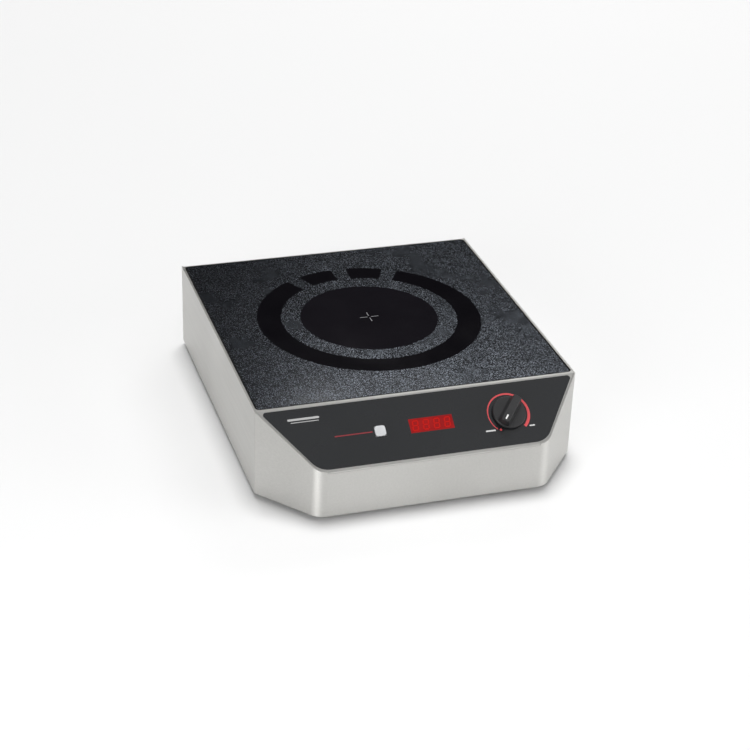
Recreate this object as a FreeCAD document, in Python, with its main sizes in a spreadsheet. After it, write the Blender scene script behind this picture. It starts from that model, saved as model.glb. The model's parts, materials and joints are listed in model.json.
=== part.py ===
import FreeCAD, Part
import math
import os
import re

import Sketcher

# Countertop induction cooker: stainless casing, sloped control panel, ceramic glass top.
#
# Frame: origin under the middle of the whole object on the counter, +Z up, front faces -Y,
# +X to the cook's right.  All lengths are in millimetres and all angles in degrees.

# ---------------------------------------------------------------- driving dimensions
DIMENSIONS = {
    # casing
    "body_width": 356, "top_depth": 356.3, "slope_run": 62.4, "chamfer_inset": 52.4,
    "body_height": 97.8, "front_height": 53.6, "foot_show": 6, "sheet": 1.2, "seam": 0.4,
    "front_bend_radius": 20, "side_bend_radius": 4.5, "deck_bend_radius": 2.4,
    "front_lip": 1.8, "lip_gap": 0.3, "rear_lip": 12, "bottom_flange": 12, "rear_flange": 14,
    "end_play": 0.3, "flange_short": 6, "slack": 0.1,
    # glass and its recess
    "rim_side": 2.4, "rim_front": 3.4, "rim_rear": 3, "glass": 4, "bead": 2, "bed": 1, "ledge": 12,
    "glass_corner": 3, "bead_drop": 0.4, "arris": 0.3,
    # control panel, measured along the slope from its lower bend
    "film": 0.5, "film_side": 3.2, "film_draw": 0.7, "film_low": 2.9, "film_high": 2,
    "film_low_corner": 22, "film_high_corner": 3,
    "window_x": 4.3, "window_up": 38.8, "window_long": 48, "window_tall": 16.1, "window_deep": 2.5,
    "window_play": 0.2, "module_tall": 19, "module_gap": 0.5,
    # push key and its switch
    "button_x": -52.2, "button_up": 37.7, "button_side": 11.4, "button_proud": 1.6,
    "button_corner": 3, "running_gap": 0.4, "key_root": 2, "key_flange": 2, "key_flange_thick": 1.6,
    "flange_gap": 0.2, "plunger_radius": 3.4, "plunger_long": 3.5, "plunger_cover": 1.2,
    "switch_side": 12, "switch_floor": 1,
    # knob and potentiometer
    "knob_x": 90.6, "knob_up": 39.2, "knob_radius": 18.3, "knob_skirt": 3.2, "knob_height": 14,
    "knob_bar": 15.4, "knob_ridge": 8.6, "knob_rest": 50, "knob_lift": 0.8, "knob_edge": 1.2,
    "knob_round": 1.5, "ridge_round": 0.8, "pointer_long": 5.8, "pointer_wide": 1.6,
    "pointer_deep": 1, "pointer_reach": 12.1, "hub_hollow": 9, "hub_deep": 2.6,
    "shaft_radius": 3, "shaft_grip": 8, "bush_radius": 3.5, "bush_play": 0.1, "bush_proud": 2.4,
    "pot_radius": 8.5, "shaft_start": 2, "nut_hex": 5.8, "nut_thick": 2, "film_hole": 7,
    # control board
    "board": 1.6, "panel_board_drop": 12, "panel_board_tall": 40, "panel_board_left": 22,
    "panel_board_right": 24, "stud_inset": 5, "stud_radius": 3.5,
    "stud_tap": 6.4, "stud_screw": 7,
    # coil, its carrier and the sensor
    "coil_radius": 88, "coil_hole": 30, "coil_thick": 5.5, "coil_turns": 15, "coil_groove": 0.9,
    "mica": 0.5, "mica_margin": 4, "mica_hole": 9, "glass_to_mica": 1.5, "carrier_thick": 4,
    "carrier_radius": 92, "carrier_hole": 12, "spigot_tall": 3, "spigot_play": 1,
    "lug_radius": 9,
    "vent_circle": 52, "vent_radius": 7, "ferrite_thick": 4.5, "ferrite_start": 26,
    "ferrite_long": 58, "ferrite_wide": 14, "sensor_radius": 7, "sensor_tip": 4, "sensor_clip": 11,
    "sensor_clip_thick": 2, "sensor_neck": 5, "coil_post_circle": 100, "coil_post_radius": 4,
    "coil_post_foot": 8, "cushion": 3, "cushion_radius": 6,
    # fan and its duct
    "fan_side": 92, "fan_thick": 25, "fan_x": -98, "fan_y": 112, "fan_bore": 41, "fan_hub": 17,
    "fan_blades": 7, "fan_lift": 1, "fan_web": 3, "fan_arm": 4, "fan_hole_inset": 5,
    "fan_screw_play": 0.3, "hub_rise": 2, "hub_gap": 0.5, "motor_step": 1, "blade_gap": 2.5,
    "blade_lean": 9, "blade_thick": 2, "blade_root": 3, "grommet_radius": 4,
    "duct_tall": 52, "duct_wall": 1.8, "duct_margin": 4,
    # power board and heatsink
    "board_long": 190, "board_deep": 120, "board_x": 65, "board_y": 35, "board_lift": 8,
    "board_hole_inset": 6, "spacer_hex": 4, "sink_long": 84, "sink_deep": 52, "sink_tall": 42,
    "sink_fins": 9, "sink_foot": 3, "sink_base": 5, "fin_thick": 1.6, "sink_along": 53,
    "sink_across": 32, "device_tall": 5,
    # shaped parts on the power board, placed across and up from its centre
    "can_across": 5, "can_pitch": 13, "can_up": -45, "can_radius": 5, "can_tall": 18,
    "choke_across": 65, "choke_up": -15, "choke_rise": 8, "choke_radius": 10, "choke_core": 5.5,
    "choke_base": 26, "choke_base_thick": 3,
    "bobbin_across": -35, "bobbin_up": -40, "bobbin_long": 26, "bobbin_deep": 16, "bobbin_tall": 16,
    "iron_long": 20, "iron_deep": 24, "iron_tall": 20, "iron_rise": 3,
    "fuse_across": 20, "fuse_up": 10, "fuse_rise": 5, "fuse_radius": 2.6, "fuse_long": 22,
    "cap_radius": 3.1, "cap_long": 5, "cap_over": 2, "clip_thick": 3, "clip_deep": 4,
    "terminal_across": 68, "terminal_up": 48, "terminal_long": 30, "terminal_deep": 14,
    "terminal_tall": 15, "well_pitch": 9, "well_radius": 3, "well_floor": 8,
    "buzzer_across": -80, "buzzer_up": -45, "buzzer_radius": 6, "buzzer_tall": 8,
    "buzzer_lid": 1, "buzzer_hole": 1,
    # leads and their headers
    "coil_lead": 1.6, "coil_lead_x": 76, "coil_lead_y": -32, "coil_lead_step": 14,
    "coil_lead_drop": 22, "coil_lead_rise": 32,
    "ribbon_lead": 0.7, "ribbon_count": 6, "ribbon_pitch": 1.7, "ribbon_x": -40, "ribbon_up": 30,
    "ribbon_drop": 21, "ribbon_out": 12, "ribbon_fall": 17, "ribbon_run": 60, "ribbon_low": 12,
    "ribbon_rise": 30, "header_long": 14, "header_deep": 6, "header_tall": 9,
    "upper_header_tall": 7.4, "header_inset": 4,
    "fan_lead": 0.6, "fan_lead_y": -30, "fan_lead_z": 14, "fan_lead_out": 12, "fan_lead_rise": 16,
    "fan_header_up": 42, "fan_header_long": 6, "fan_header_deep": 8, "fan_header_tall": 7,
    # fasteners
    "screw_radius": 1.5, "screw_head": 3, "head_thick": 1.8, "head_taper": 0.7, "cross_long": 3.2,
    "cross_wide": 0.7, "cross_deep": 1, "side_screw_inset": 7, "side_screw_end": 30,
    "front_screw_x": 70, "rear_screw_inset": 8, "rear_screw_low": 10, "rear_screw_drop": 22,
    "deck_post_hex": 5, "deck_post_shift": 3, "tap_deep": 10, "tap_margin": 2,
    "short_reach": 3, "long_reach": 8, "overrun": 1,
    # cable entry
    "gland_stick": 9, "gland_x": 135, "gland_z": 38, "gland_bore": 11, "gland_thread": 10,
    "gland_hex": 13.5, "gland_inside": 14, "gland_collar": 4, "gland_nut": 5, "gland_wall": 2,
    "gland_shoulder": 1,
    # slots
    "exhaust_slots": 26, "exhaust_pitch": 9, "exhaust_start": -150, "slot_wide": 4, "exhaust_tall": 34,
    "exhaust_z": 48, "intake_slots": 9, "intake_pitch": 9, "intake_long": 76,
    # feet
    "foot_radius": 11, "foot_taper": 1, "foot_well_play": 0.6, "foot_front_x": 120,
    "foot_rear_x": 140, "foot_inset": 45, "foot_rear_inset": 30, "foot_screw_reach": 4,
}

# Places worked out from the driving dimensions.
PLACES = {
    "front_y": "-(top_depth + slope_run + gland_stick) / 2",
    "bend_y": "front_y + slope_run",
    "rear_y": "bend_y + top_depth",
    "top_z": "foot_show + body_height",
    "front_top_z": "foot_show + front_height",
    "slope_angle": "atan2(body_height - front_height; slope_run)",
    "slope_length": "hypot(body_height - front_height; slope_run)",
    "chamfer_length": "hypot(slope_run; chamfer_inset)",
    "half_width": "body_width / 2",
    "front_half": "half_width - chamfer_inset",
    "fit": "sheet + seam",
    "fit_x": "fit * chamfer_length / slope_run",
    "deck_half": "half_width - fit",
    "lip_half": "front_half - front_bend_radius * tan(atan2(slope_run; chamfer_inset) / 2)",
    "recess_half": "half_width - rim_side",
    "recess_front": "bend_y + rim_front",
    "recess_rear": "rear_y - rim_rear",
    "recess": "glass + bed",
    "floor_z": "foot_show + 2 * sheet",
    "coil_y": "bend_y + top_depth / 2",
    "mica_z": "top_z - glass - glass_to_mica - mica",
    "coil_z": "mica_z - coil_thick",
    "carrier_z": "coil_z - carrier_thick",
    "board_z": "floor_z + board_lift",
    "on_board": "board_z + board",
    "panel_board_z": "-(panel_board_drop + board)",
    "recess_under": "top_z - recess - sheet",
    "key_bottom": "-sheet - key_root",
    "panel_board_top": "-panel_board_drop",
    "shaft_low": "panel_board_top + shaft_start",
    "knob_low": "film + knob_lift",
    "knob_end": "knob_radius - knob_edge - slack",
    "post_top": "carrier_z - cushion",
    "fan_low": "floor_z + fan_lift",
    "sink_x": "board_x - board_long / 2 + sink_along",
    "sink_y": "board_y + sink_across",
}

doc = FreeCAD.newDocument("induction_cooker")
sheet = doc.addObject("Spreadsheet::Sheet", "Dims")
for row, (alias, value) in enumerate(DIMENSIONS.items(), start=1):
    sheet.set(f"A{row}", alias)
    sheet.set(f"B{row}", str(value))
    sheet.setAlias(f"B{row}", alias)
doc.recompute()

X_AXIS = FreeCAD.Vector(1, 0, 0)
Y_AXIS = FreeCAD.Vector(0, 1, 0)
Z_AXIS = FreeCAD.Vector(0, 0, 1)
NO_TURN = FreeCAD.Rotation()
PIECES = []


# ---------------------------------------------------------------- expression helpers
def expand(expression):
    """The expression with every place worked out and every dimension read from the sheet."""
    def replace(match):
        word = match.group(0)
        if word in PLACES:
            return "(" + expand(PLACES[word]) + ")"
        if word in DIMENSIONS:
            return "Dims." + word
        return word
    return re.sub(r"[a-z_][a-z0-9_]*", replace, str(expression))


def number(expression):
    """The expression's present value as a plain number."""
    value = sheet.evalExpression(expand(expression))
    return float(getattr(value, "Value", value))


def bind(thing, prop, expression):
    """Drive a property by an expression."""
    thing.setExpression(prop, expand(expression))


def put(thing, place, turn=NO_TURN):
    """Bind the placement's base to three expressions, after turning the object."""
    thing.Placement = FreeCAD.Placement(FreeCAD.Vector(*[number(value) for value in place]), turn)
    for axis, value in zip("xyz", place):
        bind(thing, "Placement.Base." + axis, value)


def on_slope(thing):
    """Lay an object built flat at the origin onto the sloped panel, local Z pointing out."""
    turn = FreeCAD.Rotation(X_AXIS, number("slope_angle"))
    put(thing, (0, "front_y", "front_top_z"), turn)
    bind(thing, "Placement.Rotation.Angle", "slope_angle")
    return thing


def piece(thing, label):
    """Record an object as a separate sub-part with its own name."""
    thing.Label = label
    PIECES.append(thing)
    return thing


# ---------------------------------------------------------------- primitives and booleans
def block(corner, size):
    """Box from its lowest corner."""
    box = doc.addObject("Part::Box", "Block")
    for prop, value in zip(("Length", "Width", "Height"), size):
        bind(box, prop, value)
    put(box, corner)
    return box


def centred(x, y, z, long, deep, tall):
    """Box standing at height z, centred on x and y."""
    return block((f"({x}) - ({long}) / 2", f"({y}) - ({deep}) / 2", z), (long, deep, tall))


TURNS = {
    "up": NO_TURN,
    "down": FreeCAD.Rotation(X_AXIS, 180),
    "back": FreeCAD.Rotation(X_AXIS, -90),
    "front": FreeCAD.Rotation(X_AXIS, 90),
    "right": FreeCAD.Rotation(Y_AXIS, 90),
}


def rod(place, radius, length, direction="up"):
    """Cylinder that starts at a place and runs in a direction."""
    cylinder = doc.addObject("Part::Cylinder", "Rod")
    bind(cylinder, "Radius", radius)
    bind(cylinder, "Height", length)
    put(cylinder, place, TURNS[direction])
    return cylinder


def cone(place, radius_a, radius_b, length, direction="up"):
    """Cone that starts at a place with its first radius."""
    taper = doc.addObject("Part::Cone", "Cone")
    bind(taper, "Radius1", radius_a)
    bind(taper, "Radius2", radius_b)
    bind(taper, "Height", length)
    put(taper, place, TURNS[direction])
    return taper


def hexagon(place, circumradius, length, direction="up"):
    """Hexagonal prism that starts at a place and runs in a direction."""
    prism = doc.addObject("Part::Prism", "Hexagon")
    prism.Polygon = 6
    bind(prism, "Circumradius", circumradius)
    bind(prism, "Height", length)
    put(prism, place, TURNS[direction])
    return prism


def torus(place, radius, tube_radius):
    """Level torus about a place."""
    whole = doc.addObject("Part::Torus", "Torus")
    bind(whole, "Radius1", radius)
    bind(whole, "Radius2", tube_radius)
    put(whole, place)
    return whole


def fuse(*members):
    """One solid from touching or overlapping members."""
    joined = doc.addObject("Part::MultiFuse", "Fuse")
    joined.Shapes = list(members)
    return joined


def group(*members):
    """Separate solids that share one sub-part."""
    together = doc.addObject("Part::Compound", "Group")
    together.Links = list(members)
    return together


def cut(base, *tools):
    """The base less every tool."""
    difference = doc.addObject("Part::Cut", "Cut")
    difference.Base = base
    difference.Tool = tools[0] if len(tools) == 1 else fuse(*tools)
    return difference


def ring(place, outer, inner, length):
    """Upright tube."""
    return cut(rod(place, outer, length), rod(place, inner, length))


def screw(place, direction, shank_length, radius="screw_radius"):
    """Pan-head screw with a cross recess; the place is the underside of its head."""
    turn = TURNS[direction]
    shank = rod((0, 0, 0), radius, shank_length)
    head = cone((0, 0, "-head_thick"), "screw_head - head_taper", "screw_head", "head_thick")
    low = "-head_thick - overrun"
    deep = "cross_deep + overrun"
    cross = [centred(0, 0, low, "cross_long", "cross_wide", deep),
             centred(0, 0, low, "cross_wide", "cross_long", deep)]
    whole = cut(fuse(shank, head), *cross)
    put(whole, place, turn)
    return whole


# ---------------------------------------------------------------- PartDesign helpers
def new_body(label):
    """PartDesign body recorded as a sub-part."""
    return piece(doc.addObject("PartDesign::Body", label), label)


def sketch(body, role, loops, lift=None, slope=False):
    """Closed loops on one of the body's origin planes.

    A loop is a list of corners, each two expressions, or ("circle", across, up, radius).
    """
    drawing = body.newObject("Sketcher::SketchObject", "Sketch")
    plane = [item for item in body.Origin.OriginFeatures if item.Role == role][0]
    drawing.AttachmentSupport = (plane, "")
    drawing.MapMode = "FlatFace"
    if slope:
        turn = FreeCAD.Rotation(X_AXIS, number("slope_angle"))
        base = FreeCAD.Vector(0, number("front_y"), number("front_top_z"))
        drawing.AttachmentOffset = FreeCAD.Placement(base, turn)
        bind(drawing, "AttachmentOffset.Base.y", "front_y")
        bind(drawing, "AttachmentOffset.Base.z", "front_top_z")
        bind(drawing, "AttachmentOffset.Rotation.Angle", "slope_angle")
    elif lift is not None:
        drawing.AttachmentOffset = FreeCAD.Placement(FreeCAD.Vector(0, 0, number(lift)), NO_TURN)
        bind(drawing, "AttachmentOffset.Base.z", lift)
    for loop in loops:
        if loop[0] == "circle":
            draw_circle(drawing, *loop[1:])
        else:
            draw_polygon(drawing, loop)
    return drawing


def locate(drawing, index, point, across, up):
    """Hold a point of a sketch at two expressions from the sketch's origin."""
    for kind, expression in (("DistanceX", across), ("DistanceY", up)):
        value = number(expression)
        rule = drawing.addConstraint(Sketcher.Constraint(kind, -1, 1, index, point, value))
        bind(drawing, f"Constraints[{rule}]", expression)


def draw_circle(drawing, across, up, radius):
    """Circle held by its centre and radius."""
    centre = FreeCAD.Vector(number(across), number(up), 0)
    index = drawing.addGeometry(Part.Circle(centre, Z_AXIS, number(radius)), False)
    rule = drawing.addConstraint(Sketcher.Constraint("Radius", index, number(radius)))
    bind(drawing, f"Constraints[{rule}]", radius)
    locate(drawing, index, 3, across, up)


def draw_polygon(drawing, corners):
    """Closed outline.  A third entry at a corner makes the run that leaves it an arc of that
    radius, turning anticlockwise to the next corner."""
    points = [FreeCAD.Vector(number(corner[0]), number(corner[1]), 0) for corner in corners]
    following = points[1:] + points[:1]
    first = drawing.GeometryCount
    for corner, start, end in zip(corners, points, following):
        if len(corner) == 2:
            drawing.addGeometry(Part.LineSegment(start, end), False)
            continue
        radius = number(corner[2])
        chord = end - start
        left = FreeCAD.Vector(-chord.y, chord.x, 0).normalize()
        centre = (start + end) / 2 + left * math.sqrt(radius ** 2 - chord.Length ** 2 / 4)
        middle = (start + end) / 2 - centre
        middle = centre + middle.normalize() * radius
        index = drawing.addGeometry(Part.Arc(start, middle, end), False)
        rule = drawing.addConstraint(Sketcher.Constraint("Radius", index, radius))
        bind(drawing, f"Constraints[{rule}]", corner[2])
    for index in range(len(points)):
        after = first + (index + 1) % len(points)
        drawing.addConstraint(Sketcher.Constraint("Coincident", first + index, 2, after, 1))
    for index, corner in enumerate(corners):
        locate(drawing, first + index, 1, corner[0], corner[1])


def rectangle(left, low, right, high):
    """Corners in anticlockwise order."""
    return [(left, low), (right, low), (right, high), (left, high)]


def box_about(across, up, long, tall):
    """Rectangle centred on a point."""
    return rectangle(f"({across}) - ({long}) / 2", f"({up}) - ({tall}) / 2",
                     f"({across}) + ({long}) / 2", f"({up}) + ({tall}) / 2")


def feature(body, kind, drawing, length, symmetric=False, reverse=False):
    """Pad or pocket; the volume must change the way that the feature says."""
    doc.recompute()
    before = body.Shape.Volume if body.Tip else 0.0
    step = body.newObject("PartDesign::" + kind, kind)
    step.Profile = drawing
    bind(step, "Length", length)
    step.SideType = "Symmetric" if symmetric else "One side"
    step.Reversed = reverse
    doc.recompute()
    change = body.Shape.Volume - before
    if (change <= 0) if kind == "Pad" else (change >= 0):
        raise RuntimeError(f"{body.Label}: {kind} changed the volume by {change:.3f}")
    return step


def edges_where(shape, test):
    """Names of the straight edges whose middle and direction pass the test."""
    names = []
    for count, edge in enumerate(shape.Edges, start=1):
        if len(edge.Vertexes) == 2:
            along = (edge.Vertexes[1].Point - edge.Vertexes[0].Point)
            if along.Length > 1e-6 and test(edge.CenterOfMass, along.normalize()):
                names.append(f"Edge{count}")
    return names


def upright_at(*places):
    """Test for an upright edge at one of some plan positions, given as expressions."""
    spots = [(number(x), number(y)) for x, y in places]

    def test(middle, along):
        near = any(abs(middle.x - x) < 0.6 and abs(middle.y - y) < 0.6 for x, y in spots)
        return near and abs(along.z) > 0.9
    return test


def dress(body, kind, names, prop, size):
    """Fillet, chamfer or thickness on named edges or faces of the body so far."""
    if not names:
        raise RuntimeError(f"{body.Label}: nothing to dress with a {kind}")
    so_far = body.Tip
    step = body.newObject("PartDesign::" + kind, kind)
    step.Base = (so_far, names)
    bind(step, prop, size)
    doc.recompute()
    if step.Shape.isNull():
        raise RuntimeError(f"{body.Label}: the {kind} failed")
    return step


def soften(body, test, radius):
    """Fillet the straight edges that pass a test."""
    return dress(body, "Fillet", edges_where(body.Tip.Shape, test), "Radius", radius)


def edges_at_height(body, height):
    """Names of the edges that lie level at a height."""
    level = number(height)
    return [f"Edge{count}" for count, edge in enumerate(body.Tip.Shape.Edges, start=1)
            if abs(edge.BoundBox.ZMin - level) < 0.02 and abs(edge.BoundBox.ZMax - level) < 0.02]


# ---------------------------------------------------------------- casing
def chamfered_plan(inset):
    """Plan outline of the casing, drawn in by a distance on every side but the rear."""
    along = f"({inset}) * chamfer_length / slope_run"
    run = f"({inset}) * slope_run / chamfer_inset"
    front_x = f"front_half - ({along}) + ({inset}) * chamfer_inset / slope_run"
    side_y = f"bend_y + ({along}) * slope_run / chamfer_inset - ({run})"
    half = f"half_width - ({inset})"
    front = f"front_y + ({inset})"
    return [(f"-({half})", "rear_y"), (f"-({half})", side_y), (f"-({front_x})", front),
            (front_x, front), (half, side_y), (half, "rear_y")]


def make_body_wrap():
    """Sides, chamfers and front in one folded sheet, with inward flanges below and behind."""
    body = new_body("body_wrap")
    plan = chamfered_plan(0)
    feature(body, "Pad", sketch(body, "XY_Plane", [plan], lift="foot_show"), "body_height")
    soften(body, upright_at(plan[2], plan[3]), "front_bend_radius")
    soften(body, upright_at(plan[1], plan[4]), "side_bend_radius")
    top_and_rear = [f"Face{count}" for count, face in enumerate(body.Tip.Shape.Faces, start=1)
                    if face.CenterOfMass.z > number("top_z") - 0.1
                    or face.CenterOfMass.y > number("rear_y") - 0.1]
    shell = dress(body, "Thickness", top_and_rear, "Value", "sheet")
    shell.Reversed = True
    doc.recompute()
    hole = chamfered_plan("bottom_flange")
    hole[0] = (hole[0][0], "rear_y - bottom_flange")
    hole[5] = (hole[5][0], "rear_y - bottom_flange")
    opening = sketch(body, "XY_Plane", [hole], lift="foot_show")
    feature(body, "Pocket", opening, "sheet * 2", reverse=True)
    for side in ("-", ""):
        near = f"{side}(half_width - sheet / 2)"
        far = f"{side}(half_width - rear_flange)"
        strip = [(near, "rear_y - 2 * sheet"), (far, "rear_y - 2 * sheet"),
                 (far, "rear_y - sheet"), (near, "rear_y - sheet")]
        flange = sketch(body, "XY_Plane", [strip], lift="floor_z + slack")
        feature(body, "Pad", flange, "recess_under - floor_z - flange_short")
    above = [("front_y - slope_run", "front_top_z - (body_height - front_height)"),
             ("bend_y", "top_z"), ("bend_y", "2 * top_z"), ("front_y - slope_run", "2 * top_z")]
    feature(body, "Pocket", sketch(body, "YZ_Plane", [above]), "body_width + 2 * overrun",
            symmetric=True)
    lip = rectangle("-(lip_half + lip_gap)", "front_top_z - front_lip - lip_gap",
                    "lip_half + lip_gap", "top_z")
    notch = sketch(body, "XZ_Plane", [lip], lift="-(front_y - overrun)")
    feature(body, "Pocket", notch, "slope_run / 2")


def make_top_deck():
    """Top frame with the glass recess, the sloped panel and the front lip, in one pressing."""
    body = new_body("top_deck")
    under_front = "front_top_z - sheet * (1 - sin(slope_angle)) / cos(slope_angle)"
    under_bend = "bend_y + sheet * tan(slope_angle / 2)"
    profile = [("rear_y", "top_z"), ("bend_y", "top_z"), ("front_y", "front_top_z"),
               ("front_y", "front_top_z - front_lip"), ("front_y + sheet", "front_top_z - front_lip"),
               ("front_y + sheet", under_front), (under_bend, "top_z - sheet"),
               ("recess_front - sheet", "top_z - sheet"), ("recess_front - sheet", "recess_under"),
               ("rear_y - sheet", "recess_under"), ("rear_y - sheet", "top_z - rear_lip"),
               ("rear_y", "top_z - rear_lip")]
    feature(body, "Pad", sketch(body, "YZ_Plane", [profile]), "2 * deck_half", symmetric=True)

    def outer_bend(middle, along):
        at_top = abs(middle.y - number("bend_y")) < 0.1 and abs(middle.z - number("top_z")) < 0.1
        at_front = abs(middle.y - number("front_y")) < 0.1
        at_front = at_front and abs(middle.z - number("front_top_z")) < 0.1
        at_rear = abs(middle.y - number("rear_y")) < 0.1 and abs(middle.z - number("top_z")) < 0.1
        return abs(along.x) > 0.9 and (at_top or at_front or at_rear)

    soften(body, outer_bend, "deck_bend_radius")
    turn = "atan2(slope_run; chamfer_inset)"
    radius = "front_bend_radius - fit"
    arc_end = (f"lip_half + ({radius}) * sin({turn})",
               f"front_y + front_bend_radius - ({radius}) * cos({turn})")
    corner = [("lip_half", "front_y + fit", radius), arc_end,
              ("half_width - fit_x + chamfer_inset", "bend_y + slope_run"),
              ("half_width - fit_x + chamfer_inset", "front_y - slope_run"),
              ("lip_half", "front_y - slope_run")]
    mirrored = [(f"-({x})", y) for x, y in (arc_end, corner[0][:2], *corner[:1:-1])]
    mirrored[0] = (*mirrored[0], radius)
    for outline in (corner, mirrored):
        feature(body, "Pocket", sketch(body, "XY_Plane", [outline]), "2 * top_z", reverse=True)
    recess = rectangle("-recess_half", "recess_front", "recess_half", "recess_rear")
    feature(body, "Pocket", sketch(body, "XY_Plane", [recess], lift="top_z"), "recess")
    soften(body, upright_at(*recess), "glass_corner + bead")
    opening = rectangle("-(recess_half - ledge)", "recess_front + ledge",
                        "recess_half - ledge", "recess_rear - ledge")
    feature(body, "Pocket", sketch(body, "XY_Plane", [opening], lift="top_z"), "recess * 2")
    holes = [box_about("window_x", "window_up", "window_long + window_play", "window_tall + window_play"),
             box_about("button_x", "button_up", "button_side + 2 * running_gap",
                       "button_side + 2 * running_gap"),
             ("circle", "knob_x", "knob_up", "bush_radius + bush_play")]
    feature(body, "Pocket", sketch(body, "XY_Plane", holes, slope=True), "sheet * 3")


def row_of_slots(body, first, length, count, pitch):
    """Cut one slot and repeat it along the sketch's horizontal axis."""
    slot = feature(body, "Pocket", first, length)
    pattern = body.newObject("PartDesign::LinearPattern", "Row")
    pattern.Originals = [slot]
    pattern.Direction = (first, ["H_Axis"])
    bind(pattern, "Length", f"({pitch}) * ({count} - 1)")
    bind(pattern, "Occurrences", count)
    body.Tip = pattern
    doc.recompute()


def make_rear_panel():
    """Flat rear plate with exhaust slots and the hole for the cable entry."""
    body = new_body("rear_panel")
    outline = rectangle("-(half_width - sheet - end_play)", "foot_show + sheet + slack",
                        "half_width - sheet - end_play", "top_z - rear_lip - end_play")
    hole = ("circle", "gland_x", "gland_z", "gland_thread + slack")
    plate = sketch(body, "XZ_Plane", [outline, hole], lift="-(rear_y - sheet)")
    feature(body, "Pad", plate, "sheet", reverse=True)
    slot = box_about("exhaust_start", "exhaust_z", "slot_wide", "exhaust_tall")
    first = sketch(body, "XZ_Plane", [slot], lift="-(rear_y - 2 * sheet)")
    row_of_slots(body, first, "sheet * 3", "exhaust_slots", "exhaust_pitch")


def make_base_plate():
    """Floor of the casing, resting on the wrap's inward flange, with a slotted air intake."""
    body = new_body("base_plate")
    plan = chamfered_plan("sheet + end_play")
    plan[0] = (plan[0][0], "rear_y - 2 * sheet - end_play")
    plan[5] = (plan[5][0], "rear_y - 2 * sheet - end_play")
    feature(body, "Pad", sketch(body, "XY_Plane", [plan], lift="foot_show + sheet"), "sheet")
    soften(body, upright_at(plan[2], plan[3]), "front_bend_radius - sheet")
    slot = box_about("fan_x - intake_pitch * (intake_slots - 1) / 2", "fan_y", "slot_wide", "intake_long")
    first = sketch(body, "XY_Plane", [slot], lift="floor_z + sheet")
    row_of_slots(body, first, "sheet * 3", "intake_slots", "intake_pitch")


def make_feet():
    """Four rubber feet with a recessed screw each."""
    places = [("-foot_front_x", "front_y + foot_inset"), ("foot_front_x", "front_y + foot_inset"),
              ("-foot_rear_x", "rear_y - foot_rear_inset"), ("foot_rear_x", "rear_y - foot_rear_inset")]
    feet = []
    screws = []
    for x, y in places:
        tall = "foot_show + sheet"
        pad = cone((x, y, 0), "foot_radius - foot_taper", "foot_radius", tall)
        well = rod((x, y, "-overrun"), "screw_head + foot_well_play", f"overrun + ({tall}) / 2")
        bore = rod((x, y, 0), "screw_radius", tall)
        feet.append(cut(pad, well, bore))
        screws.append(screw((x, y, f"({tall}) / 2"), "up", f"({tall}) / 2 + sheet + foot_screw_reach"))
    piece(group(*feet), "rubber_feet")
    piece(group(*screws), "foot_screws")
    return places


def make_casing_fasteners(feet):
    """Base, rear and deck screws, and the hexagonal posts that carry the deck."""
    base = []
    for side in ("-", ""):
        for y in ("bend_y + side_screw_end", "coil_y", "rear_y - side_screw_end"):
            base.append((f"{side}(half_width - side_screw_inset)", y))
        base.append((f"{side}front_screw_x", "front_y + side_screw_inset"))
    rear = [(f"{side}(half_width - rear_screw_inset)", z) for side in ("-", "")
            for z in ("floor_z + rear_screw_low", "recess_under - rear_screw_drop")]
    corners = [(f"{side}(recess_half - ledge / 2)", y) for side in ("-", "")
               for y in ("recess_front + ledge / 2", "recess_rear - ledge / 2 - deck_post_shift")]
    posts = []
    for x, y in corners:
        post = hexagon((x, y, "floor_z"), "deck_post_hex", "recess_under - floor_z")
        posts.append(cut(post, rod((x, y, "floor_z"), "screw_radius", "tap_deep")))
    short = "2 * sheet + short_reach"
    piece(group(*[screw((x, y, "foot_show"), "up", short) for x, y in base]), "base_screws")
    piece(group(*[screw((x, "rear_y", z), "front", short) for x, z in rear]), "rear_screws")
    piece(group(*posts), "deck_posts")
    piece(group(*[screw((x, y, "foot_show"), "up", "2 * sheet + long_reach") for x, y in corners]),
          "deck_post_screws")
    drill("base_plate", feet + corners + base)
    drill("body_wrap", corners + base)
    circles = [("circle", x, z, "screw_radius") for x, z in rear]
    for label in ("body_wrap", "rear_panel"):
        holes = sketch(find(label), "XZ_Plane", circles, lift="-(rear_y - 4 * sheet)")
        feature(find(label), "Pocket", holes, "sheet * 5")


def find(label):
    """The recorded sub-part of that name."""
    return [item for item in PIECES if item.Label == label][0]


def drill(label, places):
    """Screw holes straight down through a body at the casing's floor."""
    circles = [("circle", x, y, "screw_radius") for x, y in places]
    body = find(label)
    holes = sketch(body, "XY_Plane", circles, lift="floor_z + overrun")
    feature(body, "Pocket", holes, "3 * sheet + overrun")


def make_cable_entry():
    """Nylon cable gland through the rear panel, with its locknut inside."""
    barrel = rod(("gland_x", "rear_y - gland_inside", "gland_z"), "gland_thread", "gland_inside", "back")
    collar = hexagon(("gland_x", "rear_y", "gland_z"), "gland_hex", "gland_collar", "back")
    dome = cone(("gland_x", "rear_y + gland_collar", "gland_z"), "gland_thread + gland_shoulder",
                "gland_bore / 2 + gland_wall", "gland_stick - gland_collar", "back")
    bore = rod(("gland_x", "rear_y - gland_inside - overrun", "gland_z"), "gland_bore / 2",
               "gland_stick + gland_inside + 2 * overrun", "back")
    piece(cut(fuse(barrel, collar, dome), bore), "cord_gland")
    nut = hexagon(("gland_x", "rear_y - sheet - gland_nut", "gland_z"), "gland_hex", "gland_nut", "back")
    hole = rod(("gland_x", "rear_y - sheet - gland_nut - overrun", "gland_z"), "gland_thread",
               "gland_nut + 2 * overrun", "back")
    piece(cut(nut, hole), "gland_nut")


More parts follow.
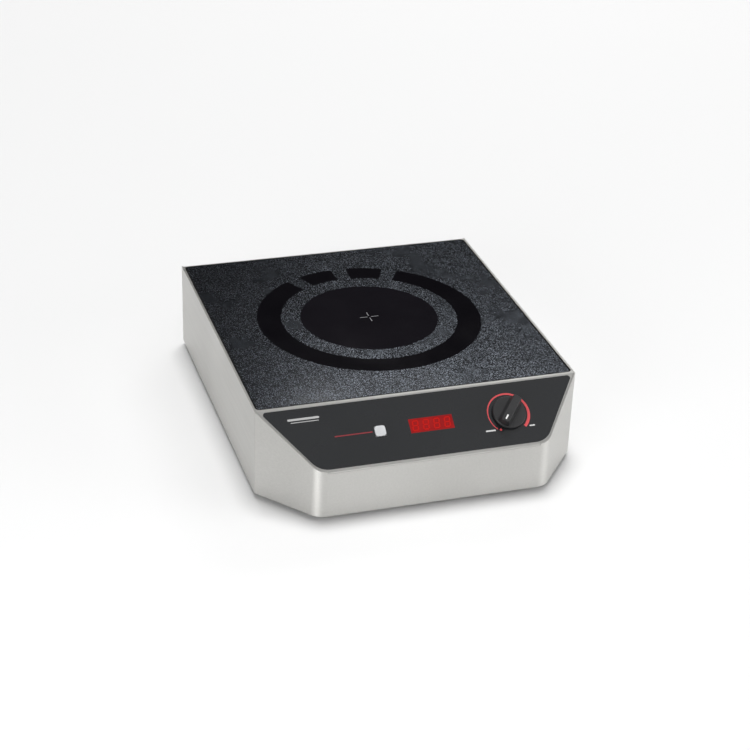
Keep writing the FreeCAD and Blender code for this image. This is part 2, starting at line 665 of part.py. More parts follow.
# ---------------------------------------------------------------- glass
def make_glass():
    """Ceramic glass plate and the silicone bead that holds it in the recess."""
    glass = new_body("glass_top")
    outline = rectangle("-(recess_half - bead)", "recess_front + bead",
                        "recess_half - bead", "recess_rear - bead")
    feature(glass, "Pad", sketch(glass, "XY_Plane", [outline], lift="top_z - glass"), "glass")
    soften(glass, upright_at(*outline), "glass_corner")
    dress(glass, "Chamfer", edges_at_height(glass, "top_z"), "Size", "arris")
    seal = new_body("glass_seal")
    wall = rectangle("-recess_half", "recess_front", "recess_half", "recess_rear")
    feature(seal, "Pad", sketch(seal, "XY_Plane", [wall], lift="top_z - recess"), "recess - bead_drop")
    soften(seal, upright_at(*wall), "glass_corner + bead")
    feature(seal, "Pocket", sketch(seal, "XY_Plane", [outline], lift="top_z"), "glass")
    soften(seal, upright_at(*outline), "glass_corner")
    inner = rectangle("-(recess_half - ledge)", "recess_front + ledge",
                      "recess_half - ledge", "recess_rear - ledge")
    feature(seal, "Pocket", sketch(seal, "XY_Plane", [inner], lift="top_z"), "recess * 2")


# ---------------------------------------------------------------- control panel
def make_panel_overlay():
    """Printed black film on the slope, following the panel's outline."""
    body = on_slope(new_body("panel_overlay"))
    low_x = "front_half + film_low * chamfer_inset / slope_length - film_side"
    high = "slope_length - film_high"
    high_x = "half_width - film_high * chamfer_inset / slope_length - film_side - film_draw"
    outline = [(f"-({low_x})", "film_low"), (low_x, "film_low"), (high_x, high), (f"-({high_x})", high)]
    holes = [box_about("window_x", "window_up", "window_long", "window_tall"),
             box_about("button_x", "button_up", "button_side + 2 * running_gap",
                       "button_side + 2 * running_gap"),
             ("circle", "knob_x", "knob_up", "film_hole")]
    feature(body, "Pad", sketch(body, "XY_Plane", [outline] + holes), "film")
    for places, size in ((outline[:2], "film_low_corner"), (outline[2:], "film_high_corner")):
        soften(body, upright_at(*places), size)


def make_display():
    """Red lens in the panel and the four-digit module behind it."""
    lens = on_slope(new_body("display_window"))
    face = box_about("window_x", "window_up", "window_long", "window_tall")
    feature(lens, "Pad", sketch(lens, "XY_Plane", [face], lift="-(window_deep - film)"), "window_deep")
    module = centred("window_x", "window_up", "panel_board_top", "window_long", "module_tall",
                     "panel_board_drop - (window_deep - film) - module_gap")
    piece(on_slope(group(module)), "display_module")


def make_button():
    """Square key in its guide, the switch plunger it pushes, and the switch on the board."""
    spot = ("button_x", "button_up")
    key = on_slope(new_body("mode_button"))
    face = box_about(*spot, "button_side", "button_side")
    feature(key, "Pad", sketch(key, "XY_Plane", [face], lift="key_bottom"),
            "film + button_proud - key_bottom")
    soften(key, upright_at(*face), "button_corner")
    flange = box_about(*spot, "button_side + 2 * key_flange", "button_side + 2 * key_flange")
    feature(key, "Pad", sketch(key, "XY_Plane", [flange], lift="-sheet - flange_gap - key_flange_thick"),
            "key_flange_thick")
    plunger = rod((*spot, "key_bottom - plunger_long"), "plunger_radius", "plunger_long")
    piece(on_slope(group(plunger)), "switch_plunger")
    case = centred(*spot, "panel_board_top", "switch_side", "switch_side",
                   "key_bottom - plunger_long + plunger_cover - panel_board_top")
    well = rod((*spot, "panel_board_top + switch_floor"), "plunger_radius + running_gap", "switch_side")
    piece(on_slope(cut(case, well)), "button_switch")


def knob_sketch(knob, loop, height):
    """Loop drawn about the knob's centre and turned to its rest angle, at a height."""
    drawing = sketch(knob, "XY_Plane", [loop])
    place = ("knob_x", "knob_up", height)
    drawing.AttachmentOffset = FreeCAD.Placement(FreeCAD.Vector(*[number(value) for value in place]),
                                                 FreeCAD.Rotation(Z_AXIS, number("knob_rest")))
    for axis, value in zip("xyz", place):
        bind(drawing, "AttachmentOffset.Base." + axis, value)
    bind(drawing, "AttachmentOffset.Rotation.Angle", "knob_rest")
    return drawing


def bar_outline(wide):
    """Long straight sides joined by arcs about the knob's centre."""
    reach = f"sqrt(pow(knob_end; 2) - pow({wide} / 2; 2))"
    return [(reach, f"-{wide} / 2", "knob_end"), (reach, f"{wide} / 2"),
            (f"-{reach}", f"{wide} / 2", "knob_end"), (f"-{reach}", f"-{wide} / 2")]


def make_knob():
    """Round skirt with a tapering grip bar, hollow below, and the white pointer set in its top."""
    spot = ("knob_x", "knob_up")
    knob = on_slope(new_body("control_knob"))
    disc = sketch(knob, "XY_Plane", [("circle", *spot, "knob_radius")], lift="knob_low")
    feature(knob, "Pad", disc, "knob_skirt")
    dress(knob, "Fillet", edges_at_height(knob, "knob_low + knob_skirt"), "Radius", "knob_edge")
    grip = knob.newObject("PartDesign::AdditiveLoft", "Grip")
    grip.Profile = knob_sketch(knob, bar_outline("knob_bar"), "knob_low")
    grip.Sections = [knob_sketch(knob, bar_outline("knob_ridge"), "knob_height")]
    grip.Ruled = True
    knob.Tip = grip
    doc.recompute()

    def bar_end(middle, along):
        off_axis = math.hypot(middle.x - number("knob_x"), middle.y - number("knob_up"))
        return abs(along.z) > 0.7 and off_axis > number("knob_radius") / 2

    soften(knob, bar_end, "knob_round")
    dress(knob, "Fillet", edges_at_height(knob, "knob_height"), "Radius", "ridge_round")
    hollow = sketch(knob, "XY_Plane", [("circle", *spot, "hub_hollow")], lift="knob_low")
    feature(knob, "Pocket", hollow, "hub_deep", reverse=True)
    bore = sketch(knob, "XY_Plane", [("circle", *spot, "shaft_radius")], lift="knob_low")
    feature(knob, "Pocket", bore, "shaft_grip", reverse=True)
    groove = knob_sketch(knob, box_about("-pointer_reach", 0, "pointer_long", "pointer_wide"), "knob_height")
    feature(knob, "Pocket", groove, "pointer_deep")
    inlay = group(centred("-pointer_reach", 0, 0, "pointer_long", "pointer_wide", "pointer_deep"))
    put(inlay, (*spot, "knob_height - pointer_deep"), FreeCAD.Rotation(Z_AXIS, number("knob_rest")))
    bind(inlay, "Placement.Rotation.Angle", "knob_rest")
    piece(on_slope(group(inlay)), "knob_pointer")


def make_potentiometer():
    """Bushed potentiometer on the control board, its shaft and the nut on the panel."""
    spot = ("knob_x", "knob_up")
    shaft = rod((*spot, "shaft_low"), "shaft_radius", "knob_low + shaft_grip - shaft_low")
    piece(on_slope(group(shaft)), "pot_shaft")
    case = rod((*spot, "panel_board_top"), "pot_radius", "panel_board_drop - sheet - bush_play")
    bush = rod((*spot, "-sheet - bush_play"), "bush_radius", "sheet + bush_play + film + bush_proud")
    bore = rod((*spot, "shaft_low"), "shaft_radius + bush_play / 2", "panel_board_drop + knob_height")
    piece(on_slope(cut(fuse(case, bush), bore)), "potentiometer")
    nut = hexagon((*spot, 0), "nut_hex", "nut_thick")
    thread = rod((*spot, "-overrun"), "bush_radius", "nut_thick + 2 * overrun")
    piece(on_slope(cut(nut, thread)), "pot_nut")


def make_panel_board():
    """Control board behind the slope, hung from four studs."""
    low = "window_up - panel_board_tall / 2"
    left = "button_x - panel_board_left"
    right = "knob_x + panel_board_right"
    board = block((left, low, "panel_board_z"), (f"({right}) - ({left})", "panel_board_tall", "board"))
    corners = [(x, y) for x in (f"{left} + stud_inset", f"{right} - stud_inset")
               for y in (f"{low} + stud_inset", f"{low} + panel_board_tall - stud_inset")]
    studs = []
    for x, y in corners:
        stud = rod((x, y, "panel_board_top"), "stud_radius", "panel_board_drop - sheet")
        studs.append(cut(stud, rod((x, y, "panel_board_z"), "screw_radius", "board + stud_tap")))
    holes = [rod((x, y, "panel_board_z - overrun"), "screw_radius", "board + 2 * overrun")
             for x, y in corners]
    piece(on_slope(cut(board, *holes)), "control_board")
    piece(on_slope(group(*studs)), "control_board_studs")
    piece(on_slope(group(*[screw((x, y, "panel_board_z"), "up", "stud_screw") for x, y in corners])),
          "control_board_screws")


# ---------------------------------------------------------------- heating
def coil_posts():
    """Three plan positions about the coil, a third of a turn apart."""
    spots = []
    for angle in (180, 60, -60):
        spots.append((f"coil_post_circle * cos({angle})", f"coil_y + coil_post_circle * sin({angle})"))
    return spots


def make_coil():
    """Flat winding under its mica sheet, on a vented carrier with ferrite bars below."""
    centre = (0, "coil_y")
    plate = rod((*centre, "mica_z"), "coil_radius + mica_margin", "mica")
    piece(cut(plate, rod((*centre, "mica_z - overrun"), "mica_hole", "mica + 2 * overrun")),
          "coil_insulator")
    winding = ring((*centre, "coil_z"), "coil_radius", "coil_hole", "coil_thick")
    pitch = "(coil_radius - coil_hole) / coil_turns"
    grooves = [torus((*centre, "mica_z"), f"coil_hole + {turn} * {pitch}", "coil_groove")
               for turn in range(1, int(number("coil_turns")))]
    piece(cut(winding, *grooves), "induction_coil")
    plate = rod((*centre, "carrier_z"), "carrier_radius", "carrier_thick")
    lugs = [rod((x, y, "carrier_z"), "lug_radius", "carrier_thick") for x, y in coil_posts()]
    spigot = rod((*centre, "carrier_z"), "coil_hole - spigot_play", "carrier_thick + spigot_tall")
    under = "carrier_z - overrun"
    through = "carrier_thick + spigot_tall + 2 * overrun"
    vents = [rod((f"vent_circle * cos({angle})", f"coil_y + vent_circle * sin({angle})", under),
                 "vent_radius", through) for angle in range(0, 360, 60)]
    screw_holes = [rod((x, y, under), "screw_radius", through) for x, y in coil_posts()]
    piece(cut(fuse(plate, spigot, *lugs), rod((*centre, under), "carrier_hole", through), *vents,
              *screw_holes), "coil_carrier")
    bars = []
    for angle in range(30, 390, 60):
        bar = block(("ferrite_start", "-ferrite_wide / 2", "carrier_z - ferrite_thick"),
                    ("ferrite_long", "ferrite_wide", "ferrite_thick"))
        turned = group(bar)
        put(turned, (0, "coil_y", 0), FreeCAD.Rotation(Z_AXIS, angle))
        bars.append(turned)
    piece(group(*bars), "ferrite_bars")


def make_glass_sensor():
    """Temperature sensor that stands through the coil and touches the glass."""
    centre = (0, "coil_y")
    cup = rod((*centre, "coil_z"), "sensor_radius", "mica_z + mica - coil_z")
    tip = rod((*centre, "mica_z + mica"), "sensor_tip", "glass_to_mica")
    clip = rod((*centre, "carrier_z"), "sensor_clip", "sensor_clip_thick")
    neck = rod((*centre, "carrier_z"), "sensor_neck", "coil_z - carrier_z")
    piece(fuse(cup, tip, clip, neck), "glass_sensor")


def make_coil_posts():
    """Three posts with rubber cushions that press the coil up towards the glass."""
    posts = []
    pads = []
    screws = []
    for x, y in coil_posts():
        post = fuse(rod((x, y, "floor_z"), "coil_post_radius", "post_top - floor_z"),
                    cone((x, y, "floor_z"), "coil_post_foot", "coil_post_radius", "coil_post_foot"))
        tapped = rod((x, y, "post_top - tap_deep - tap_margin"), "screw_radius",
                     "tap_deep + tap_margin + overrun")
        posts.append(cut(post, tapped))
        pads.append(ring((x, y, "post_top"), "cushion_radius", "screw_radius", "cushion"))
        screws.append(screw((x, y, "carrier_z + carrier_thick"), "down",
                            "carrier_thick + cushion + tap_deep"))
    piece(group(*posts), "coil_posts")
    piece(group(*pads), "coil_cushions")
    piece(group(*screws), "coil_screws")


# ---------------------------------------------------------------- cooling
def make_fan_frame():
    """Square fan frame over the intake, on rubber grommets, with its four screws."""
    corners = [(f"fan_x + {a} * (fan_side / 2 - fan_hole_inset)",
                f"fan_y + {b} * (fan_side / 2 - fan_hole_inset)") for a in (1, -1) for b in (1, -1)]
    frame = centred("fan_x", "fan_y", "fan_low", "fan_side", "fan_side", "fan_thick")
    frame = cut(frame, rod(("fan_x", "fan_y", "fan_low - overrun"), "fan_bore", "fan_thick + 2 * overrun"))
    web_z = "fan_low + fan_thick - fan_web"
    motor = rod(("fan_x", "fan_y", web_z), "fan_hub - motor_step", "fan_web")
    arms = [centred("fan_x", "fan_y", web_z, "2 * (fan_bore + overrun)", "fan_arm", "fan_web"),
            centred("fan_x", "fan_y", web_z, "fan_arm", "2 * (fan_bore + overrun)", "fan_web")]
    bores = [rod((x, y, "fan_low - overrun"), "screw_radius + fan_screw_play", "fan_thick + 2 * overrun")
             for x, y in corners]
    piece(cut(fuse(frame, motor, *arms), *bores), "fan_frame")
    rubber = [ring((x, y, "floor_z"), "grommet_radius", "screw_radius + fan_screw_play", "fan_lift")
              for x, y in corners]
    piece(group(*rubber), "fan_grommets")
    screws = [screw((x, y, "fan_low + fan_thick"), "down", "fan_thick + fan_lift + sheet")
              for x, y in corners]
    piece(group(*screws), "fan_screws")
    drill("base_plate", corners)


def make_fan_rotor():
    """Hub with leaning blades, clear of the frame all round."""
    rotor = new_body("fan_rotor")
    put(rotor, ("fan_x", "fan_y", "fan_low"))
    hub = sketch(rotor, "XY_Plane", [("circle", 0, 0, "fan_hub")], lift="hub_rise")
    feature(rotor, "Pad", hub, "fan_thick - hub_rise - fan_web - hub_gap")
    high = "fan_thick - 2 * blade_gap"
    blade = [("-blade_lean", "blade_gap"), ("blade_thick - blade_lean", "blade_gap"),
             ("blade_lean", high), ("blade_lean - blade_thick", high)]
    root = "fan_hub - blade_root"
    first = sketch(rotor, "XZ_Plane", [blade], lift=f"-({root})")
    pad = feature(rotor, "Pad", first, f"fan_bore - blade_gap - ({root})", reverse=True)
    pattern = rotor.newObject("PartDesign::PolarPattern", "Blades")
    pattern.Originals = [pad]
    axis = [item for item in rotor.Origin.OriginFeatures if item.Role == "Z_Axis"][0]
    pattern.Axis = (axis, [""])
    pattern.Angle = 360
    bind(pattern, "Occurrences", "fan_blades")
    rotor.Tip = pattern


def make_air_duct():
    """Box over the fan, open below and towards the power board."""
    reach = "fan_side / 2 + duct_margin"
    outer = block((f"fan_x - ({reach})", f"fan_y - ({reach})", "floor_z"),
                  (f"2 * ({reach})", f"2 * ({reach})", "duct_tall"))
    inner = block((f"fan_x - ({reach}) + duct_wall", f"fan_y - ({reach}) + duct_wall", "floor_z - overrun"),
                  (f"2 * ({reach})", f"2 * ({reach}) - 2 * duct_wall", "duct_tall + overrun - duct_wall"))
    piece(cut(outer, inner), "air_duct")


# ---------------------------------------------------------------- power electronics
def make_power_board():
    """Power board on standoffs, drilled for its four screws."""
    corners = [(f"board_x + {a} * (board_long / 2 - board_hole_inset)",
                f"board_y + {b} * (board_deep / 2 - board_hole_inset)") for a in (1, -1) for b in (1, -1)]
    plate = centred("board_x", "board_y", "board_z", "board_long", "board_deep", "board")
    holes = [rod((x, y, "board_z - overrun"), "screw_radius", "board + 2 * overrun") for x, y in corners]
    piece(cut(plate, *holes), "power_board")
    posts = [cut(hexagon((x, y, "floor_z"), "spacer_hex", "board_lift"),
                 rod((x, y, "floor_z - overrun"), "screw_radius", "board_lift + 2 * overrun"))
             for x, y in corners]
    piece(group(*posts), "power_board_posts")
    reach = "board + board_lift - tap_margin"
    piece(group(*[screw((x, y, "on_board"), "down", reach) for x, y in corners]),
          "power_board_screws")


def make_heatsink():
    """Finned aluminium heatsink standing over the power devices."""
    body = new_body("heatsink")
    put(body, ("sink_x", "sink_y", "on_board"))
    half = "sink_deep / 2"
    high = "device_tall + sink_base"
    bridge = [(f"-{half}", 0), (f"sink_foot - {half}", 0), (f"sink_foot - {half}", "device_tall"),
              (f"{half} - sink_foot", "device_tall"), (f"{half} - sink_foot", 0), (half, 0),
              (half, high), (f"-{half}", high)]
    feature(body, "Pad", sketch(body, "YZ_Plane", [bridge]), "sink_long", symmetric=True)
    fin = rectangle(f"-{half}", f"{high} - fin_thick", f"fin_thick - {half}", "sink_tall")
    first = sketch(body, "YZ_Plane", [fin])
    pad = feature(body, "Pad", first, "sink_long", symmetric=True)
    pattern = body.newObject("PartDesign::LinearPattern", "Fins")
    pattern.Originals = [pad]
    pattern.Direction = (first, ["H_Axis"])
    bind(pattern, "Length", "sink_deep - fin_thick")
    bind(pattern, "Occurrences", "sink_fins")
    body.Tip = pattern


# Plain blocks on the power board: across and up from its centre, then length, depth, height.
BOARD_BLOCKS = {
    "power_transistors": [(-68, 32, 16, 20, 5), (-48, 32, 16, 20, 5)],
    "bridge_rectifier": [(-18, 32, 30, 20, 5)],
    "film_capacitors": [(30, 28, 32, 18, 26), (30, 48, 32, 18, 26)],
    "mains_relay": [(65, -45, 19, 16, 16)],
    "coil_terminals": [(60, 12, 8, 8, 9), (76, 12, 8, 8, 9)],
}


def on_board(across, up, rise=0):
    """Place on the power board, from its centre and its upper face."""
    return (f"board_x + {across}", f"board_y + {up}", f"on_board + {rise}")


def make_board_blocks():
    """Rectangular devices soldered to the power board, each kind in its own sub-part."""
    for label, blocks in BOARD_BLOCKS.items():
        piece(group(*[centred(*on_board(across, up), *size) for across, up, *size in blocks]), label)


def make_electrolytics():
    """Two small upright cans."""
    cans = [rod(on_board(across, "can_up"), "can_radius", "can_tall")
            for across in ("can_across", "can_across + can_pitch")]
    piece(group(*cans), "electrolytic_capacitors")


def make_filter_choke():
    """Toroidal core on its square base."""
    core = torus(on_board("choke_across", "choke_up", "choke_rise"), "choke_radius", "choke_core")
    base = centred(*on_board("choke_across", "choke_up"), "choke_base", "choke_base", "choke_base_thick")
    piece(fuse(core, base), "filter_choke")


def make_standby_transformer():
    """Bobbin with its iron core across it."""
    spot = ("bobbin_across", "bobbin_up")
    bobbin = centred(*on_board(*spot), "bobbin_long", "bobbin_deep", "bobbin_tall")
    iron = centred(*on_board(*spot, "iron_rise"), "iron_long", "iron_deep", "iron_tall")
    piece(fuse(bobbin, iron), "standby_transformer")


def make_line_fuse():
    """Glass tube fuse with end caps in two clips."""
    tube = rod(on_board("fuse_across", "fuse_up", "fuse_rise"), "fuse_radius", "fuse_long", "right")
    parts = [tube]
    for start in ("fuse_across - cap_over", "fuse_across + fuse_long + cap_over - cap_long"):
        parts.append(rod(on_board(start, "fuse_up", "fuse_rise"), "cap_radius", "cap_long", "right"))
        parts.append(centred(*on_board(f"{start} + cap_long / 2", "fuse_up"), "clip_thick", "clip_deep",
                             "clip_thick"))
    piece(fuse(*parts), "line_fuse")


def make_terminal_block():
    """Three-way block for the mains conductors."""
    base = centred(*on_board("terminal_across", "terminal_up"), "terminal_long", "terminal_deep",
                   "terminal_tall")
    wells = [rod(on_board(f"terminal_across + {step} * well_pitch", "terminal_up", "well_floor"),
                 "well_radius", "terminal_tall") for step in (-1, 0, 1)]
    piece(cut(base, *wells), "terminal_block")


def make_buzzer():
    """Round sounder with a hole in its lid."""
    spot = ("buzzer_across", "buzzer_up")
    case = rod(on_board(*spot), "buzzer_radius", "buzzer_tall")
    hole = rod(on_board(*spot, "buzzer_tall - buzzer_lid"), "buzzer_hole", "buzzer_lid + overrun")
    piece(cut(case, hole), "buzzer")


# ---------------------------------------------------------------- wiring
def lead(points, size):
    """Round lead along straight runs joined by tangent arcs, checked by its volume."""
    radius = number(size)
    knots = [FreeCAD.Vector(*[number(value) for value in point]) for point in points]
    edges = []
    start = knots[0]
    for before, corner, after in zip(knots, knots[1:], knots[2:]):
        back = (before - corner).normalize()
        onward = (after - corner).normalize()
        half_turn = (math.pi - back.getAngle(onward)) / 2
        tangent = 0.45 * min((before - corner).Length, (after - corner).Length)
        bend = tangent / math.tan(half_turn)
        first = corner + back * tangent
        last = corner + onward * tangent
        inward = (back + onward).normalize()
        middle = corner + inward * (bend / math.cos(half_turn) - bend)
        edges += [Part.LineSegment(start, first).toShape(), Part.Arc(first, middle, last).toShape()]
        start = last
    edges.append(Part.LineSegment(start, knots[-1]).toShape())
    path = Part.Wire(edges)
    section = Part.Wire(Part.makeCircle(radius, knots[0], knots[1] - knots[0]))
    solid = path.makePipeShell([section], True, False)
    expected = math.pi * radius ** 2 * path.Length
    if abs(solid.Volume - expected) > 0.01 * expected:
        raise RuntimeError(f"lead volume {solid.Volume:.1f}, expected {expected:.1f}")
    return solid


def wiring(label, solids):
    """Sub-part made of finished lead solids."""
    thing = doc.addObject("Part::Feature", label)
    thing.Shape = Part.Compound(solids)
    piece(thing, label)


def make_coil_leads():
    """Two leads from the winding down to their terminals on the power board."""
    solids = []
    for count, (across, up, long, deep, tall) in enumerate(BOARD_BLOCKS["coil_terminals"]):
        step = f"{count} * coil_lead_step"
        start = (f"coil_lead_x + {step}", f"coil_y + coil_lead_y + {step}")
        points = [(*start, "carrier_z"), (*start, "carrier_z - coil_lead_drop"),
                  on_board(across, up, "coil_lead_rise"), on_board(across, up, tall)]
        solids.append(lead(points, "coil_lead"))
    wiring("coil_leads", solids)


def make_control_leads():
    """Ribbon of leads from the control board to the power board, with both its headers."""
    middle = "board_x + ribbon_x"
    start_y = "front_y + ribbon_up * cos(slope_angle) + ribbon_drop * sin(slope_angle)"
    start_z = "front_top_z + ribbon_up * sin(slope_angle) - ribbon_drop * cos(slope_angle)"
    end_y = "board_y - board_deep / 2 + header_inset"
    strands = []
    for count in range(DIMENSIONS["ribbon_count"]):
        x = f"{middle} + ({count} - (ribbon_count - 1) / 2) * ribbon_pitch"
        strands.append(lead([(x, start_y, start_z),
                             (x, f"{start_y} + ribbon_out", f"{start_z} - ribbon_fall"),
                             (x, f"{end_y} - ribbon_run", "on_board + ribbon_low"),
                             (x, end_y, "on_board + ribbon_rise"),
                             (x, end_y, "on_board + header_tall")], "ribbon_lead"))
    wiring("control_leads", strands)
    upper = centred(middle, "ribbon_up", "panel_board_z - upper_header_tall", "header_long",
                    "header_deep", "upper_header_tall")
    return [centred(middle, end_y, "on_board", "header_long", "header_deep", "header_tall"),
            on_slope(group(upper))]


def make_fan_leads():
    """Pair of leads from the fan frame to the power board, with their header."""
    across = "board_x - board_long / 2 + header_inset"
    up = "board_y + fan_header_up"
    low = "floor_z + fan_lead_z"
    solids = []
    for step in (-1, 1):
        start_y = f"fan_y + fan_lead_y + {step}"
        end_y = f"{up} + {step}"
        solids.append(lead([("fan_x + fan_side / 2", start_y, low),
                            ("fan_x + fan_side / 2 + fan_lead_out", start_y, low),
                            (across, end_y, "on_board + fan_lead_rise"),
                            (across, end_y, "on_board + fan_header_tall")], "fan_lead"))
    wiring("fan_leads", solids)
    return [centred(across, up, "on_board", "fan_header_long", "fan_header_deep", "fan_header_tall")]


doc.recompute()
make_body_wrap()
make_top_deck()
make_rear_panel()
make_base_plate()
feet_places = make_feet()
make_casing_fasteners(feet_places)
make_cable_entry()
make_glass()
make_panel_overlay()
make_display()
make_button()
make_knob()
make_potentiometer()
make_panel_board()
make_coil()
make_glass_sensor()
make_coil_posts()
make_fan_frame()
make_fan_rotor()
make_air_duct()
make_power_board()
make_heatsink()
make_board_blocks()
make_electrolytics()
make_filter_choke()
make_standby_transformer()
make_line_fuse()
make_terminal_block()
make_buzzer()
make_coil_leads()
lead_headers = make_control_leads() + make_fan_leads()
piece(group(*lead_headers), "lead_headers")
doc.recompute()


# ---------------------------------------------------------------- check and write
def write_parts():
    """Refuse a failed or empty object, then write one STEP file for each sub-part."""
    for thing in doc.Objects:
        if "Invalid" in thing.State or "Error" in thing.State:
            raise RuntimeError(f"{thing.Label} failed: {thing.State}")
    os.makedirs("parts", exist_ok=True)
    for thing in PIECES:
        shape = thing.Shape
        if shape.isNull() or not shape.isValid() or not shape.Solids:
            raise RuntimeError(f"{thing.Label} has no valid solid")
        shape.exportStep(os.path.join("parts", thing.Label + ".step"))
        box = shape.BoundBox
        print(f"{thing.Label:24s} solids {len(shape.Solids):2d} volume {shape.Volume:10.1f} "
              f"x {box.XMin:.1f}..{box.XMax:.1f} y {box.YMin:.1f}..{box.YMax:.1f} "
              f"z {box.ZMin:.1f}..{box.ZMax:.1f}")


write_parts()
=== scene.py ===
"""Looks of a countertop induction cooker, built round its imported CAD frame.

Metres, +Z up, the front faces -Y.  Places on the sloped panel are measured from the knob's
centre: "across" to the right, "up" along the slope and "out" of the panel's sheet.
"""
import json
import math

import bmesh
import bpy
from mathutils import Matrix, Vector


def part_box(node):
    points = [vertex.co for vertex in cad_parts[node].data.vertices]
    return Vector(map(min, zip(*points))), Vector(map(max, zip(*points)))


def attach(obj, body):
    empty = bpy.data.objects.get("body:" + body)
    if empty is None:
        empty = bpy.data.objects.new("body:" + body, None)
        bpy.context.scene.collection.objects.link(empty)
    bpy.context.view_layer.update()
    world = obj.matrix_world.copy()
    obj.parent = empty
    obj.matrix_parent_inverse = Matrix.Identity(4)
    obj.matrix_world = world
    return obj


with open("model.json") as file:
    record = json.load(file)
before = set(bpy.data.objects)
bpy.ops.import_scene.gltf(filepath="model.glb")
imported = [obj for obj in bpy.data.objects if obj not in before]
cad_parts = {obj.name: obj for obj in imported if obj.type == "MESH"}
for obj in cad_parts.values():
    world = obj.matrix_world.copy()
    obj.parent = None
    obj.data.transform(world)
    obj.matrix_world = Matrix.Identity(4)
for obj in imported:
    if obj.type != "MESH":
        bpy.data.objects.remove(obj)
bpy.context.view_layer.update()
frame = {"nodes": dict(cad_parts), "record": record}

MM = 0.001
NODES = frame["nodes"]
JOINTS = {joint["name"]: joint for joint in frame["record"]["behaviour"]["joints"]}

# ---------------------------------------------------------------- places read from the frame
KNOB_CENTRE = Vector(JOINTS["knob_turn"]["pos_m"])
INTO_PANEL = Vector(JOINTS["knob_turn"]["axis"])
OUT_OF_PANEL = -INTO_PANEL
ACROSS = Vector((1, 0, 0))
UP_SLOPE = OUT_OF_PANEL.cross(ACROSS)
FILM = 0.5 * MM                      # thickness of the printed film on the panel
PRINT = 0.06 * MM                    # thickness of a printed mark
GLASS_LOW, GLASS_HIGH = (Vector(corner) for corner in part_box("glass_top"))
ZONE_CENTRE = Vector(((GLASS_LOW.x + GLASS_HIGH.x) / 2, (GLASS_LOW.y + GLASS_HIGH.y) / 2, GLASS_HIGH.z))
FRONT_RIM = 5.4 * MM                 # bead and steel between the glass and the bend
BEND_Y = GLASS_LOW.y - FRONT_RIM     # where the level top bends down into the panel


def on_panel(across, up, out=FILM):
    """A point of the sloped panel, from the knob's centre."""
    return KNOB_CENTRE + ACROSS * across + UP_SLOPE * up + OUT_OF_PANEL * out


def panel_place(node):
    """Middle of a CAD node on the panel, as across and up from the knob's centre."""
    low, high = (Vector(corner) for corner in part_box(node))
    middle = (low + high) / 2 - KNOB_CENTRE
    return middle.dot(ACROSS), middle.dot(UP_SLOPE)


# ---------------------------------------------------------------- shader building
class Shader:
    """A node material with one Principled shader and short ways to add nodes."""

    def __init__(self, name, **settings):
        self.material = bpy.data.materials.new(name)
        self.material.use_nodes = True
        self.tree = self.material.node_tree
        self.principled = self.tree.nodes["Principled BSDF"]
        for socket, value in settings.items():
            self.principled.inputs[socket.replace("_", " ")].default_value = value
        self.place = self.tree.nodes.new("ShaderNodeTexCoord").outputs["Object"]

    def node(self, kind, **inputs):
        made = self.tree.nodes.new("ShaderNode" + kind)
        for socket, value in inputs.items():
            self.feed(made.inputs[socket.replace("_", " ")], value)
        return made

    def feed(self, socket, value):
        if isinstance(value, bpy.types.NodeSocket):
            self.tree.links.new(value, socket)
        else:
            socket.default_value = value

    def set(self, socket, value):
        self.feed(self.principled.inputs[socket], value)

    def stretched(self, scale):
        """Object coordinates scaled by axis."""
        mapping = self.node("Mapping", Vector=self.place, Scale=scale)
        return mapping.outputs["Vector"]

    def noise(self, scale, detail=3.0, where=None, roughness=0.5):
        made = self.node("TexNoise", Scale=scale, Detail=detail, Roughness=roughness,
                         Vector=where or self.place)
        return made.outputs["Fac"]

    def cells(self, scale, feature="F1"):
        made = self.node("TexVoronoi", Scale=scale, Vector=self.place)
        made.feature = feature
        return made

    def span(self, value, low, high, to_low, to_high):
        """Remap a value, clamped at both ends."""
        made = self.node("MapRange", Value=value)
        made.inputs["From Min"].default_value = low
        made.inputs["From Max"].default_value = high
        made.inputs["To Min"].default_value = to_low
        made.inputs["To Max"].default_value = to_high
        return made.outputs["Result"]

    def mix(self, factor, first, second):
        made = self.tree.nodes.new("ShaderNodeMix")
        made.data_type = "RGBA"
        self.feed(made.inputs["Factor"], factor)
        self.feed(made.inputs[6], first)
        self.feed(made.inputs[7], second)
        return made.outputs[2]

    def math(self, operation, first, second=0.0):
        made = self.tree.nodes.new("ShaderNodeMath")
        made.operation = operation
        self.feed(made.inputs[0], first)
        self.feed(made.inputs[1], second)
        return made.outputs[0]

    def bump(self, height, strength, distance):
        made = self.node("Bump", Height=height, Strength=strength, Distance=distance)
        self.set("Normal", made.outputs["Normal"])


def grey(value):
    return (value, value, value, 1.0)


def tinted(shade, factor, lift=0.0):
    """A shade made lighter or darker, as an opaque colour."""
    return tuple(min(1.0, part * factor + lift) for part in shade[:3]) + (1.0,)


